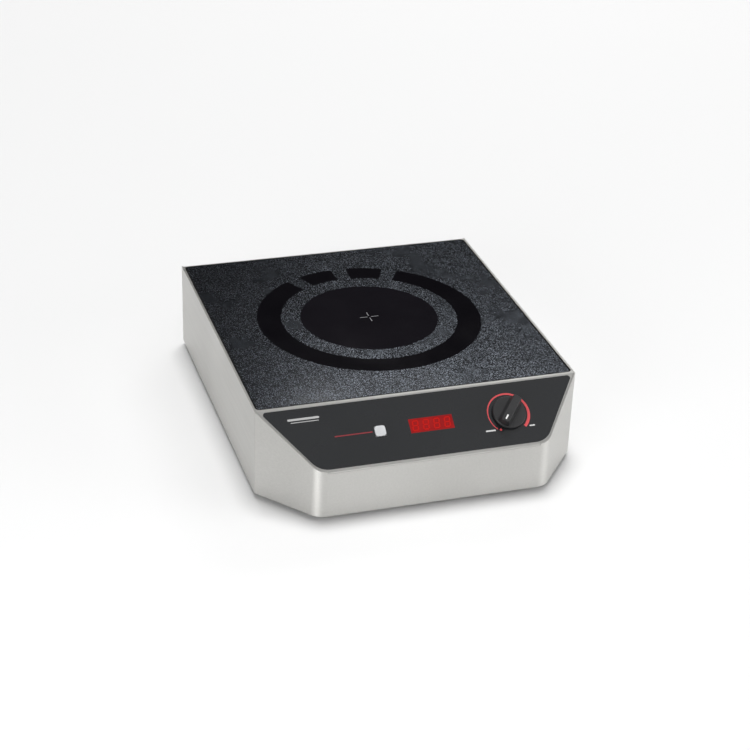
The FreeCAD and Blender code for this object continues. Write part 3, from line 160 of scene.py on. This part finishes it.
def brushed_steel(name, along, shade, roughness=0.3, streak=0.0):
    """Satin stainless sheet: fine brush lines along one axis, faint smears and handling marks.

    On upright faces "streak" draws the reflections out up and down.
    """
    shader = Shader(name, Metallic=1.0, Anisotropic_Rotation=0.25)
    facing = shader.node("SeparateXYZ", Vector=shader.node("NewGeometry").outputs["Normal"])
    upward = shader.math("ABSOLUTE", facing.outputs["Z"])
    shader.set("Anisotropic", shader.span(upward, 0.2, 0.5, streak, 0.0))
    around = shader.node("Tangent")
    around.direction_type = "RADIAL"
    around.axis = "Z"
    shader.set("Tangent", around.outputs["Tangent"])
    fine = {"x": (14, 1900, 1900), "y": (1900, 14, 1900)}[along]
    broad = {"x": (5, 420, 420), "y": (420, 5, 420)}[along]
    lines = shader.noise(1.0, 2.0, shader.stretched(fine))
    bands = shader.noise(1.0, 2.0, shader.stretched(broad))
    smear = shader.noise(9.0, 3.0)
    brush = shader.math("ADD", shader.math("MULTIPLY", lines, 0.65), shader.math("MULTIPLY", bands, 0.35))
    tone = shader.span(brush, 0.25, 0.75, 0.0, 1.0)
    shader.set("Base Color", shader.mix(tone, tinted(shade, 0.90), tinted(shade, 1.08)))
    rough = shader.math("ADD", shader.span(brush, 0.2, 0.8, roughness - 0.05, roughness + 0.06),
                        shader.span(smear, 0.35, 0.7, -0.02, 0.04))
    shader.set("Roughness", rough)
    shader.bump(brush, 0.10, 0.00006)
    return shader.material


def speckled_glass():
    """Dark ceramic glass with a fine silvery speckle fired on below its polished face."""
    shader = Shader("glass_speckled", IOR=1.5, Coat_Weight=0.0)
    small = shader.cells(1050.0)
    large = shader.cells(600.0)
    fine = shader.math("MULTIPLY", shader.span(small.outputs["Distance"], 0.15, 0.5, 1.0, 0.0),
                       small.outputs["Color"])
    broad = shader.math("MULTIPLY", shader.span(large.outputs["Distance"], 0.2, 0.5, 1.0, 0.0),
                        large.outputs["Color"])
    fleck = shader.math("MAXIMUM", fine, broad)
    density = shader.noise(60.0, 3.0)
    fleck = shader.math("MULTIPLY", fleck, shader.span(density, 0.3, 0.7, 0.75, 1.1))
    shader.set("Base Color", shader.mix(fleck, (0.008, 0.0085, 0.010, 1), (0.34, 0.38, 0.44, 1)))
    shader.set("Metallic", shader.span(fleck, 0.0, 0.12, 0.0, 1.0))
    wipe = shader.noise(14.0, 4.0, roughness=0.6)
    shader.set("Roughness", shader.math("ADD", shader.span(wipe, 0.3, 0.75, 0.0, 0.05),
                                        shader.span(fleck, 0.0, 0.3, 0.07, 0.26)))
    shader.bump(fleck, 0.04, 0.00003)
    return shader.material


def printed_black(name, shade, rough_low, rough_high):
    """Smooth printed ink or film with a very fine tooth."""
    shader = Shader(name, IOR=1.5)
    tooth = shader.noise(2600.0, 2.0)
    haze = shader.noise(18.0, 3.0)
    shader.set("Base Color", shader.mix(haze, shade, tinted(shade, 1.25)))
    shader.set("Roughness", shader.span(haze, 0.3, 0.7, rough_low, rough_high))
    shader.bump(tooth, 0.08, 0.00003)
    return shader.material


def moulded(name, shade, roughness=0.42, grain=1400.0, depth=0.14):
    """Moulded plastic or rubber: fine spark-eroded grain, slight colour drift, worn gloss."""
    shader = Shader(name, IOR=1.48)
    pebble = shader.noise(grain, 3.0)
    drift = shader.noise(35.0, 3.0)
    shader.set("Base Color", shader.mix(shader.span(drift, 0.3, 0.7, 0.0, 1.0), shade,
                                        tinted(shade, 1.3, 0.004)))
    shader.set("Roughness", shader.span(drift, 0.25, 0.75, roughness - 0.06, roughness + 0.08))
    shader.bump(pebble, depth, 0.00005)
    return shader.material


def silicone():
    """Dead black sealing bead with a faint ripple."""
    shader = Shader("silicone_black", Specular_IOR_Level=0.12)
    ripple = shader.noise(260.0, 3.0)
    shader.set("Base Color", shader.mix(ripple, grey(0.002), grey(0.006)))
    shader.set("Roughness", shader.span(ripple, 0.3, 0.7, 0.55, 0.7))
    shader.bump(ripple, 0.2, 0.00005)
    return shader.material


def ink(name, shade, glow=0.0):
    """Screen-printed mark with a slightly uneven edge tone."""
    shader = Shader(name, Roughness=0.42)
    blotch = shader.noise(900.0, 3.0)
    shader.set("Base Color", shader.mix(blotch, tinted(shade, 0.86), shade))
    if glow:
        shader.principled.inputs["Emission Color"].default_value = shade
        shader.principled.inputs["Emission Strength"].default_value = glow
    return shader.material


def lit_window():
    """Red display lens, lit unevenly from behind."""
    shader = Shader("display_red", IOR=1.49, Emission_Strength=0.42, Specular_IOR_Level=0.25)
    pool = shader.noise(70.0, 2.0)
    weave = shader.noise(900.0, 2.0)
    colour = shader.mix(shader.span(pool, 0.3, 0.7, 0.0, 1.0),
                        (0.165, 0.002, 0.003, 1), (0.235, 0.004, 0.004, 1))
    shader.set("Base Color", colour)
    shader.set("Emission Color", colour)
    shader.set("Roughness", shader.span(weave, 0.3, 0.7, 0.12, 0.2))
    return shader.material


def plated(name, shade, roughness=0.34):
    """Zinc-plated or machined small metal part with faint tarnish."""
    shader = Shader(name, Metallic=1.0)
    stain = shader.noise(160.0, 4.0)
    shader.set("Base Color", shader.mix(shader.span(stain, 0.3, 0.7, 0.0, 1.0),
                                        tinted(shade, 0.7), shade))
    shader.set("Roughness", shader.span(stain, 0.3, 0.7, roughness - 0.06, roughness + 0.12))
    shader.bump(stain, 0.1, 0.00005)
    return shader.material


def galvanised():
    """Base sheet with the flat crystal spangle of hot-dip zinc."""
    shader = Shader("zinc_spangle", Metallic=1.0)
    crystal = shader.cells(70.0)
    fine = shader.noise(240.0, 3.0)
    tone = shader.math("ADD", shader.math("MULTIPLY", crystal.outputs["Color"], 0.7),
                       shader.math("MULTIPLY", fine, 0.3))
    shader.set("Base Color", shader.mix(tone, grey(0.36), (0.62, 0.63, 0.64, 1)))
    shader.set("Roughness", shader.span(tone, 0.2, 0.8, 0.34, 0.52))
    return shader.material


def circuit_board():
    """Green solder mask with buried traces."""
    shader = Shader("solder_mask", Roughness=0.32, IOR=1.5)
    traces = shader.cells(260.0, feature="DISTANCE_TO_EDGE")
    line = shader.span(traces.outputs["Distance"], 0.03, 0.06, 0.0, 1.0)
    shader.set("Base Color", shader.mix(line, (0.035, 0.17, 0.07, 1), (0.008, 0.075, 0.03, 1)))
    return shader.material


def litz_winding():
    """Varnished copper strands, twisted along each turn."""
    shader = Shader("litz_copper", Metallic=1.0)
    strand = shader.noise(1500.0, 3.0)
    shader.set("Base Color", shader.mix(strand, (0.42, 0.13, 0.05, 1), (0.86, 0.42, 0.2, 1)))
    shader.set("Roughness", shader.span(strand, 0.3, 0.7, 0.26, 0.44))
    shader.bump(strand, 0.35, 0.0002)
    return shader.material


# ---------------------------------------------------------------- materials on the CAD nodes
STEEL = (0.65, 0.645, 0.622)
# the top deck's stainless is a darker copy of the wrap's: painted shade that dims its rims and panel
# margins
SHADED_DECK_STEEL = (0.60, 0.595, 0.575)
SOFT_EDGES = {"body_wrap": 0.25 * MM, "top_deck": 0.3 * MM, "panel_overlay": 0.1 * MM,
              "mode_button": 0.5 * MM, "rear_panel": 0.2 * MM, "rubber_feet": 0.6 * MM,
              "cord_gland": 0.5 * MM}
SHARP_FROM = math.radians(35)        # edges that turn more than this are softened


def dress_nodes():
    """Give every CAD node its material, then soften the edges that catch light."""
    screws = plated("screw_zinc", (0.62, 0.62, 0.63, 1))
    spacer = plated("spacer_steel", (0.5, 0.5, 0.48, 1), 0.4)
    boards = circuit_board()
    black_rubber = moulded("rubber_black", (0.016, 0.016, 0.017, 1), 0.62, 900.0, 0.25)
    nylon = moulded("nylon_black", (0.02, 0.02, 0.021, 1), 0.4)
    filled = moulded("nylon_filled", (0.035, 0.035, 0.038, 1), 0.55, 700.0, 0.3)
    epoxy = moulded("epoxy_black", (0.018, 0.018, 0.018, 1), 0.5)
    looks = {
        brushed_steel("steel_wrap", "y", STEEL, 0.42, 0.8): ["body_wrap"],
        # darker deck steel: painted shade on the top rims and panel margins; the brush direction along x
        # is the deck's own
        brushed_steel("steel_deck_painted_shade", "x", SHADED_DECK_STEEL, 0.44): ["top_deck"],
        brushed_steel("steel_rear", "x", STEEL, 0.42, 0.6): ["rear_panel"],
        galvanised(): ["base_plate"],
        speckled_glass(): ["glass_top"],
        silicone(): ["glass_seal"],
        printed_black("film_black", (0.0115, 0.0125, 0.0140, 1), 0.20, 0.27): ["panel_overlay"],
        lit_window(): ["display_window"],
        moulded("key_white", (0.52, 0.53, 0.54, 1), 0.38, 1800.0, 0.08): ["mode_button"],
        moulded("knob_black", (0.018, 0.018, 0.019, 1), 0.34, 1700.0, 0.12): ["control_knob"],
        ink("pointer_white", (0.85, 0.85, 0.84, 1)): ["knob_pointer"],
        black_rubber: ["rubber_feet", "coil_cushions", "fan_grommets"],
        nylon: ["cord_gland", "gland_nut", "switch_plunger", "button_switch", "display_module"],
        filled: ["coil_carrier", "coil_posts", "air_duct", "fan_frame", "fan_rotor"],
        epoxy: ["power_transistors", "bridge_rectifier", "buzzer", "mains_relay"],
        boards: ["control_board", "power_board"],
        screws: ["foot_screws", "base_screws", "rear_screws", "deck_post_screws", "coil_screws",
                 "control_board_screws", "fan_screws", "power_board_screws"],
        spacer: ["deck_posts", "control_board_studs", "power_board_posts"],
        plated("shaft_steel", (0.66, 0.65, 0.62, 1), 0.25): ["pot_shaft", "potentiometer", "pot_nut"],
        litz_winding(): ["induction_coil"],
        moulded("mica_sheet", (0.42, 0.36, 0.27, 1), 0.45, 300.0, 0.3): ["coil_insulator"],
        moulded("ferrite_grey", (0.03, 0.03, 0.033, 1), 0.6, 2200.0, 0.4): ["ferrite_bars"],
        moulded("sensor_cap", (0.6, 0.6, 0.57, 1), 0.6): ["glass_sensor"],
        plated("sink_aluminium", (0.8, 0.8, 0.81, 1), 0.4): ["heatsink"],
        moulded("capacitor_box", (0.62, 0.38, 0.05, 1), 0.3): ["film_capacitors"],
        moulded("capacitor_sleeve", (0.015, 0.03, 0.1, 1), 0.3): ["electrolytic_capacitors"],
        moulded("varnished_core", (0.2, 0.13, 0.05, 1), 0.4, 500.0, 0.5): ["filter_choke",
                                                                          "standby_transformer"],
        moulded("fuse_body", (0.7, 0.69, 0.64, 1), 0.3): ["line_fuse"],
        moulded("terminal_green", (0.03, 0.2, 0.09, 1), 0.45): ["terminal_block"],
        plated("terminal_brass", (0.75, 0.55, 0.25, 1), 0.3): ["coil_terminals"],
        moulded("lead_red", (0.35, 0.015, 0.015, 1), 0.5): ["coil_leads"],
        moulded("lead_grey", (0.35, 0.35, 0.36, 1), 0.5): ["control_leads"],
        moulded("lead_black", (0.015, 0.015, 0.015, 1), 0.5): ["fan_leads"],
        moulded("header_ivory", (0.7, 0.68, 0.6, 1), 0.45): ["lead_headers"],
    }
    for material, names in looks.items():
        for name in names:
            mesh = NODES[name].data
            mesh.materials.clear()
            mesh.materials.append(material)
    for name, width in SOFT_EDGES.items():
        soft = NODES[name].modifiers.new("soft_edges", "BEVEL")
        soft.width = width
        soft.segments = 2
        soft.limit_method = "ANGLE"
        soft.angle_limit = SHARP_FROM
        soft.harden_normals = False


# ---------------------------------------------------------------- printed marks
def add_piece(name, outlines, place, thickness, material, body):
    """Thin solid from flat outlines, each laid by place(a, b, out)."""
    mesh = bmesh.new()
    for outline in outlines:
        low = [mesh.verts.new(place(a, b, 0.0)) for a, b in outline]
        high = [mesh.verts.new(place(a, b, thickness)) for a, b in outline]
        mesh.faces.new(low)
        mesh.faces.new(high)
        for index in range(len(outline)):
            after = (index + 1) % len(outline)
            mesh.faces.new((low[index], low[after], high[after], high[index]))
    bmesh.ops.recalc_face_normals(mesh, faces=mesh.faces)
    data = bpy.data.meshes.new(name)
    mesh.to_mesh(data)
    mesh.free()
    data.materials.append(material)
    piece = bpy.data.objects.new(name, data)
    bpy.context.scene.collection.objects.link(piece)
    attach(piece, body)


def polar(radius, degrees):
    return (radius * math.cos(math.radians(degrees)), radius * math.sin(math.radians(degrees)))


def arc(radius, start, end, steps):
    """Points along an arc, angles in degrees."""
    return [polar(radius, start + (end - start) * step / steps) for step in range(steps + 1)]


def ring_part(inner, outer, start, end):
    """Outline of a stretch of a flat ring."""
    steps = max(6, int(abs(end - start)))
    return arc(outer, start, end, steps) + arc(inner, end, start, steps)


def rounded(across, up, long, tall, corner, steps=5):
    """Rectangle with round corners about a centre."""
    outline = []
    for turn, (side, lift) in enumerate(((1, 1), (-1, 1), (-1, -1), (1, -1))):
        middle = (across + side * (long / 2 - corner), up + lift * (tall / 2 - corner))
        outline += [(middle[0] + a, middle[1] + b)
                    for a, b in arc(corner, 90 * turn, 90 * turn + 90, steps)]
    return outline


def on_glass(a, b, out):
    return ZONE_CENTRE + Vector((a, b, out))


ZONE_OUTER = 127 * MM                # 254 mm cooking zone
ZONE_RING = 100 * MM
ZONE_DISC = 78 * MM
BRIDGE_ANGLES = (118, 90, 62)        # three plain gaps at the rear of the ring
BRIDGE_WIDTH = 17 * MM
CROSS_ARM = 9 * MM                   # plain open cross in the middle of the disc
CROSS_LINE = 1.1 * MM
CROSS_GAP = 2 * MM


def print_cooking_zone():
    """Generic zone marking: a broad black ring broken by plain gaps, and a black disc."""
    black = printed_black("zone_black", (0.0042, 0.0038, 0.0050, 1), 0.05, 0.09)
    half = math.degrees(math.asin(BRIDGE_WIDTH / 2 / ((ZONE_OUTER + ZONE_RING) / 2)))
    starts = [angle + half for angle in (BRIDGE_ANGLES[0], BRIDGE_ANGLES[2], BRIDGE_ANGLES[1])]
    ends = [BRIDGE_ANGLES[2] - half + 360, BRIDGE_ANGLES[1] - half, BRIDGE_ANGLES[0] - half]
    stretches = [ring_part(ZONE_RING, ZONE_OUTER, start, end) for start, end in zip(starts, ends)]
    add_piece("zone_ring", stretches, on_glass, PRINT, black, "chassis")
    dusty = printed_black("disc_black", (0.0072, 0.0064, 0.0084, 1), 0.05, 0.09)
    add_piece("zone_disc", [arc(ZONE_DISC, 0, 357, 119)], on_glass, PRINT, dusty, "chassis")
    mark = ink("zone_centre_ink", (0.20, 0.20, 0.21, 1))

    def above_disc(a, b, out):
        return on_glass(a, b, out + PRINT)

    middle = CROSS_ARM / 2 + CROSS_GAP
    corner = CROSS_LINE / 3
    bars = [rounded(0, side * middle, CROSS_LINE, CROSS_ARM, corner) for side in (1, -1)]
    bars += [rounded(side * middle, 0, CROSS_ARM, CROSS_LINE, corner) for side in (1, -1)]
    add_piece("zone_centre_mark", bars, above_disc, PRINT, mark, "chassis")


def on_film(a, b, out):
    return on_panel(a, b, FILM + out)


SCALE_OUTER = 23.6 * MM
SCALE_START = 225.0                  # degrees, beside the off dot
SCALE_END = -50.0
SCALE_THIN = 0.8 * MM                # width of the scale at its start
SCALE_SWELL = 2.5 * MM               # how much wider it is at its end
OFF_ANGLE = 232.8
OFF_DISTANCE = 21.9 * MM
OFF_RADIUS = 1.4 * MM
SCALE_BARS = ((-24.5 * MM, -17.3 * MM, 11 * MM), (22.2 * MM, -17.0 * MM, 6 * MM))  # across, up, length
SCALE_BAR_TALL = 1.7 * MM
BAR_CORNER = 0.5 * MM
RULE_OFFSET = 28.5 * MM              # from the key's middle to the rule's middle
RULE_LONG = 41 * MM
RULE_TALL = 1.3 * MM


def print_power_scale():
    """Red wedge that widens clockwise round the knob, the off dot and two plain white bars."""
    red = ink("scale_red", (0.66, 0.075, 0.085, 1))
    steps = 90
    outer = arc(SCALE_OUTER, SCALE_START, SCALE_END, steps)
    inner = []
    for step in range(steps, -1, -1):
        share = step / steps
        width = SCALE_THIN + SCALE_SWELL * share
        inner.append(polar(SCALE_OUTER - width, SCALE_START + (SCALE_END - SCALE_START) * share))
    add_piece("power_scale", [outer + inner], on_film, PRINT, red, "chassis")
    across, up = polar(OFF_DISTANCE, OFF_ANGLE)
    dot = [(across + a, up + b) for a, b in arc(OFF_RADIUS, 0, 345, 23)]
    add_piece("off_dot", [dot], on_film, PRINT, red, "chassis")
    white = ink("label_white", (0.62, 0.62, 0.62, 1))
    bars = [rounded(across, up, long, SCALE_BAR_TALL, BAR_CORNER) for across, up, long in SCALE_BARS]
    add_piece("scale_end_bars", bars, on_film, PRINT, white, "chassis")


def print_panel_lines():
    """Plain red rule that leads to the key, and two plain pale bars in the upper corner."""
    across, up = panel_place("mode_button")
    rule = rounded(across - RULE_OFFSET, up, RULE_LONG, RULE_TALL, BAR_CORNER)
    red = ink("rule_red", (0.25, 0.024, 0.032, 1))
    add_piece("key_rule", [rule], on_film, PRINT, red, "chassis")
    pale = ink("corner_bar_grey", (0.46, 0.46, 0.46, 1))
    bars = [rounded(-220 * MM, 23.2 * MM, 34 * MM, 2.4 * MM, 1.1 * MM),
            rounded(-219 * MM, 19.8 * MM, 30 * MM, 0.8 * MM, 0.35 * MM)]
    add_piece("corner_bars", bars, on_film, PRINT, pale, "chassis")


DIGIT_PITCH = 11.7 * MM
DIGIT_WIDE = 7.2 * MM
DIGIT_TALL = 12.2 * MM
DIGIT_STROKE = 1.5 * MM
DIGIT_LEAN = 0.12
SEGMENTS = {"top": (0, 1), "middle": (0, 0), "bottom": (0, -1), "left_high": (-1, 0.5),
            "left_low": (-1, -0.5), "right_high": (1, 0.5), "right_low": (1, -0.5)}


def light_digits():
    """Four generic seven-segment digits glowing in the display window."""
    across, up = panel_place("display_window")
    half = DIGIT_STROKE / 2
    outlines = []
    for place in range(4):
        middle = across + (place - 1.5) * DIGIT_PITCH
        for side, level in SEGMENTS.values():
            if side == 0:
                reach = DIGIT_WIDE / 2 - DIGIT_STROKE * 0.55
                bar = [(-reach, 0), (-reach + half, half), (reach - half, half),
                       (reach, 0), (reach - half, -half), (-reach + half, -half)]
            else:
                reach = DIGIT_TALL / 4 - DIGIT_STROKE * 0.35
                bar = [(0, -reach), (-half, -reach + half), (-half, reach - half),
                       (0, reach), (half, reach - half), (half, -reach + half)]
            centre = (side * (DIGIT_WIDE - DIGIT_STROKE) / 2, level * (DIGIT_TALL - DIGIT_STROKE) / 2)
            outlines.append([(middle + centre[0] + a + DIGIT_LEAN * (centre[1] + b), up + centre[1] + b)
                             for a, b in bar])
    glow = ink("digit_glow", (0.30, 0.006, 0.004, 1), 0.62)
    glow.node_tree.nodes["Principled BSDF"].inputs["Specular IOR Level"].default_value = 0.1
    add_piece("display_digits", outlines, on_film, PRINT, glow, "chassis")


# ---------------------------------------------------------------- stage, light and camera
FLOOR_HALF = 9.0


def make_stage():
    """Seamless pale floor."""
    half = FLOOR_HALF
    data = bpy.data.meshes.new("floor")
    corners = [(-half, -half, 0), (half, -half, 0), (half, half, 0), (-half, half, 0)]
    data.from_pydata(corners, [], [(0, 1, 2, 3)])
    shader = Shader("floor_pale", Roughness=0.9, Specular_IOR_Level=0.1)
    shader.set("Base Color", grey(0.85))
    data.materials.append(shader.material)
    floor = bpy.data.objects.new("floor", data)
    bpy.context.scene.collection.objects.link(floor)


SKY_STOPS = ((0.0, 0.95), (0.21, 0.50), (0.28, 0.0), (0.63, 0.0), (0.73, 0.90), (1.0, 0.40))
BRIGHT_SIDE = (0.80, -0.60, 0.0)     # the surround is stronger towards the front right
DIM_STRENGTH = 0.40
BRIGHT_STRENGTH = 1.45


def make_world():
    """Studio surround: bright overhead, a dark band behind the glass, a brighter front right side."""
    world = bpy.data.worlds.new("studio")
    bpy.context.scene.world = world
    world.use_nodes = True
    nodes = world.node_tree.nodes
    links = world.node_tree.links
    direction = nodes.new("ShaderNodeTexCoord").outputs["Generated"]
    split = nodes.new("ShaderNodeSeparateXYZ")
    links.new(direction, split.inputs[0])
    ramp = nodes.new("ShaderNodeValToRGB")
    links.new(split.outputs["Z"], ramp.inputs["Fac"])
    while len(ramp.color_ramp.elements) < len(SKY_STOPS):
        ramp.color_ramp.elements.new(0.5)
    for element, (height, level) in zip(ramp.color_ramp.elements, SKY_STOPS):
        element.position = height
        element.color = grey(level)
    links.new(ramp.outputs["Color"], nodes["Background"].inputs["Color"])
    toward = nodes.new("ShaderNodeVectorMath")
    toward.operation = "DOT_PRODUCT"
    links.new(direction, toward.inputs[0])
    toward.inputs[1].default_value = BRIGHT_SIDE
    side = nodes.new("ShaderNodeMapRange")
    links.new(toward.outputs["Value"], side.inputs["Value"])
    side.inputs["From Min"].default_value = -1.0
    side.inputs["From Max"].default_value = 1.0
    side.inputs["To Min"].default_value = DIM_STRENGTH
    side.inputs["To Max"].default_value = BRIGHT_STRENGTH
    links.new(side.outputs["Result"], nodes["Background"].inputs["Strength"])


def hang(name, data, facing):
    """Put a light into the scene, turned to shine along a direction."""
    lamp = bpy.data.objects.new(name, data)
    lamp.rotation_euler = Vector(facing).to_track_quat("-Z", "Y").to_euler()
    bpy.context.scene.collection.objects.link(lamp)
    return lamp


def make_key_light():
    """Even overhead light, a little from behind and from the right."""
    data = bpy.data.lights.new("overhead", "SUN")
    data.energy = 1.865
    data.angle = math.radians(23)
    lamp = hang("overhead", data, (-0.04, -0.19, -0.97))
    lamp.visible_glossy = False      # its mirror image would whiten the glass seen from above


def make_panel_light(name, wide, tall, watts, place, facing):
    """Rectangular softbox."""
    data = bpy.data.lights.new(name, "AREA")
    data.shape = "RECTANGLE"
    data.size = wide
    data.size_y = tall
    data.energy = watts
    hang(name, data, facing).location = place


def make_panel_lights():
    """Softboxes at the left, at the right and behind."""
    # draws one upright highlight on the rounded front corner
    make_panel_light("edge_strip", 0.90, 1.0, 11.5, (-1.22, -1.28, 0.60), (0.69, 0.72, 0.0))
    # lifts the right chamfer and the right end of the front
    make_panel_light("right_fill", 0.90, 0.80, 5.5, (1.45, -0.95, 0.60), (-0.83, 0.50, -0.25))
    # low card beyond the right rear, which the speckle picks up towards the front
    make_panel_light("back_card", 1.4, 0.35, 11.0, (1.23, 2.27, 2.02), (-1.23, -2.27, -1.92))


VIEW_TURN = math.radians(-18.342)    # camera stands left of the front
VIEW_RISE = math.radians(28.883)
VIEW_ROLL = math.radians(2.216)
VIEW_DISTANCE = 2.03684
VIEW_LENS = 88.026                   # millimetres on a 36 mm sensor
VIEW_AIM = Vector((-12.56 * MM, BEND_Y + 111.54 * MM, 66 * MM))


def make_camera():
    """Camera on the front left, looking down at the middle of the case."""
    back = Vector((math.sin(VIEW_TURN) * math.cos(VIEW_RISE),
                   -math.cos(VIEW_TURN) * math.cos(VIEW_RISE),
                   math.sin(VIEW_RISE)))
    data = bpy.data.cameras.new("camera")
    data.lens = VIEW_LENS
    data.sensor_width = 36.0
    data.clip_end = 50.0
    camera = bpy.data.objects.new("camera", data)
    facing = (-back).to_track_quat("-Z", "Y").to_matrix().to_4x4()
    place = Matrix.Translation(VIEW_AIM + back * VIEW_DISTANCE)
    camera.matrix_world = place @ facing @ Matrix.Rotation(VIEW_ROLL, 4, "Z")
    bpy.context.scene.collection.objects.link(camera)
    bpy.context.scene.camera = camera


dress_nodes()
print_cooking_zone()
print_power_scale()
print_panel_lines()
light_digits()
make_stage()
make_world()
make_key_light()
make_panel_lights()
make_camera()
bpy.context.scene.view_settings.view_transform = "Standard"
